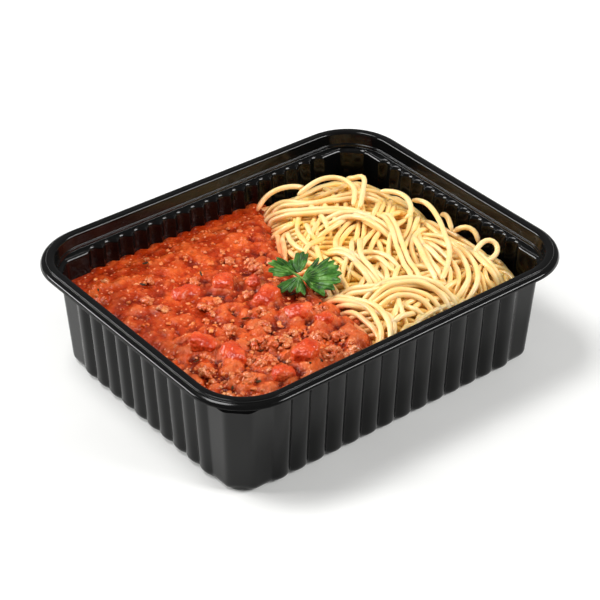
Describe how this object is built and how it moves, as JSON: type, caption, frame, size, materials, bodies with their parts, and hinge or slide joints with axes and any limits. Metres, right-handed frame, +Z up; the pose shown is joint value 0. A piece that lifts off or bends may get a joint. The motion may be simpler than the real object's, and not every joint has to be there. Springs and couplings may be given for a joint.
{
  "type": "plastic tray meal",
  "caption": "Open ready meal in a black ribbed plastic tray, with bolognese sauce beside plain spaghetti and a parsley sprig where they meet.",
  "frame": {"origin": "middle of the tray's underside, on the surface that it stands on", "axes": "+X along the tray's long side towards the spaghetti, +Y across the tray, +Z up"},
  "size_m": [0.19, 0.1536, 0.0535],
  "materials": {
    "tray_plastic": "black thermoformed polypropylene, satin gloss",
    "sauce": "wet tomato sauce with minced meat",
    "pasta": "cooked spaghetti, moist",
    "tomato": "wet cooked tomato",
    "parsley": "fresh flat parsley leaf"
  },
  "bodies": {
    "root": {"tray": "tray_plastic", "bolognese_sauce": "sauce", "spaghetti": "pasta", "parsley_sprig": "parsley", "tomato_piece_01": "tomato", "tomato_piece_02": "tomato", "tomato_piece_03": "tomato", "tomato_piece_04": "tomato", "tomato_piece_05": "tomato", "tomato_piece_06": "tomato", "tomato_piece_07": "tomato", "tomato_piece_08": "tomato", "tomato_piece_09": "tomato", "tomato_piece_10": "tomato"}
  },
  "joints": []
}
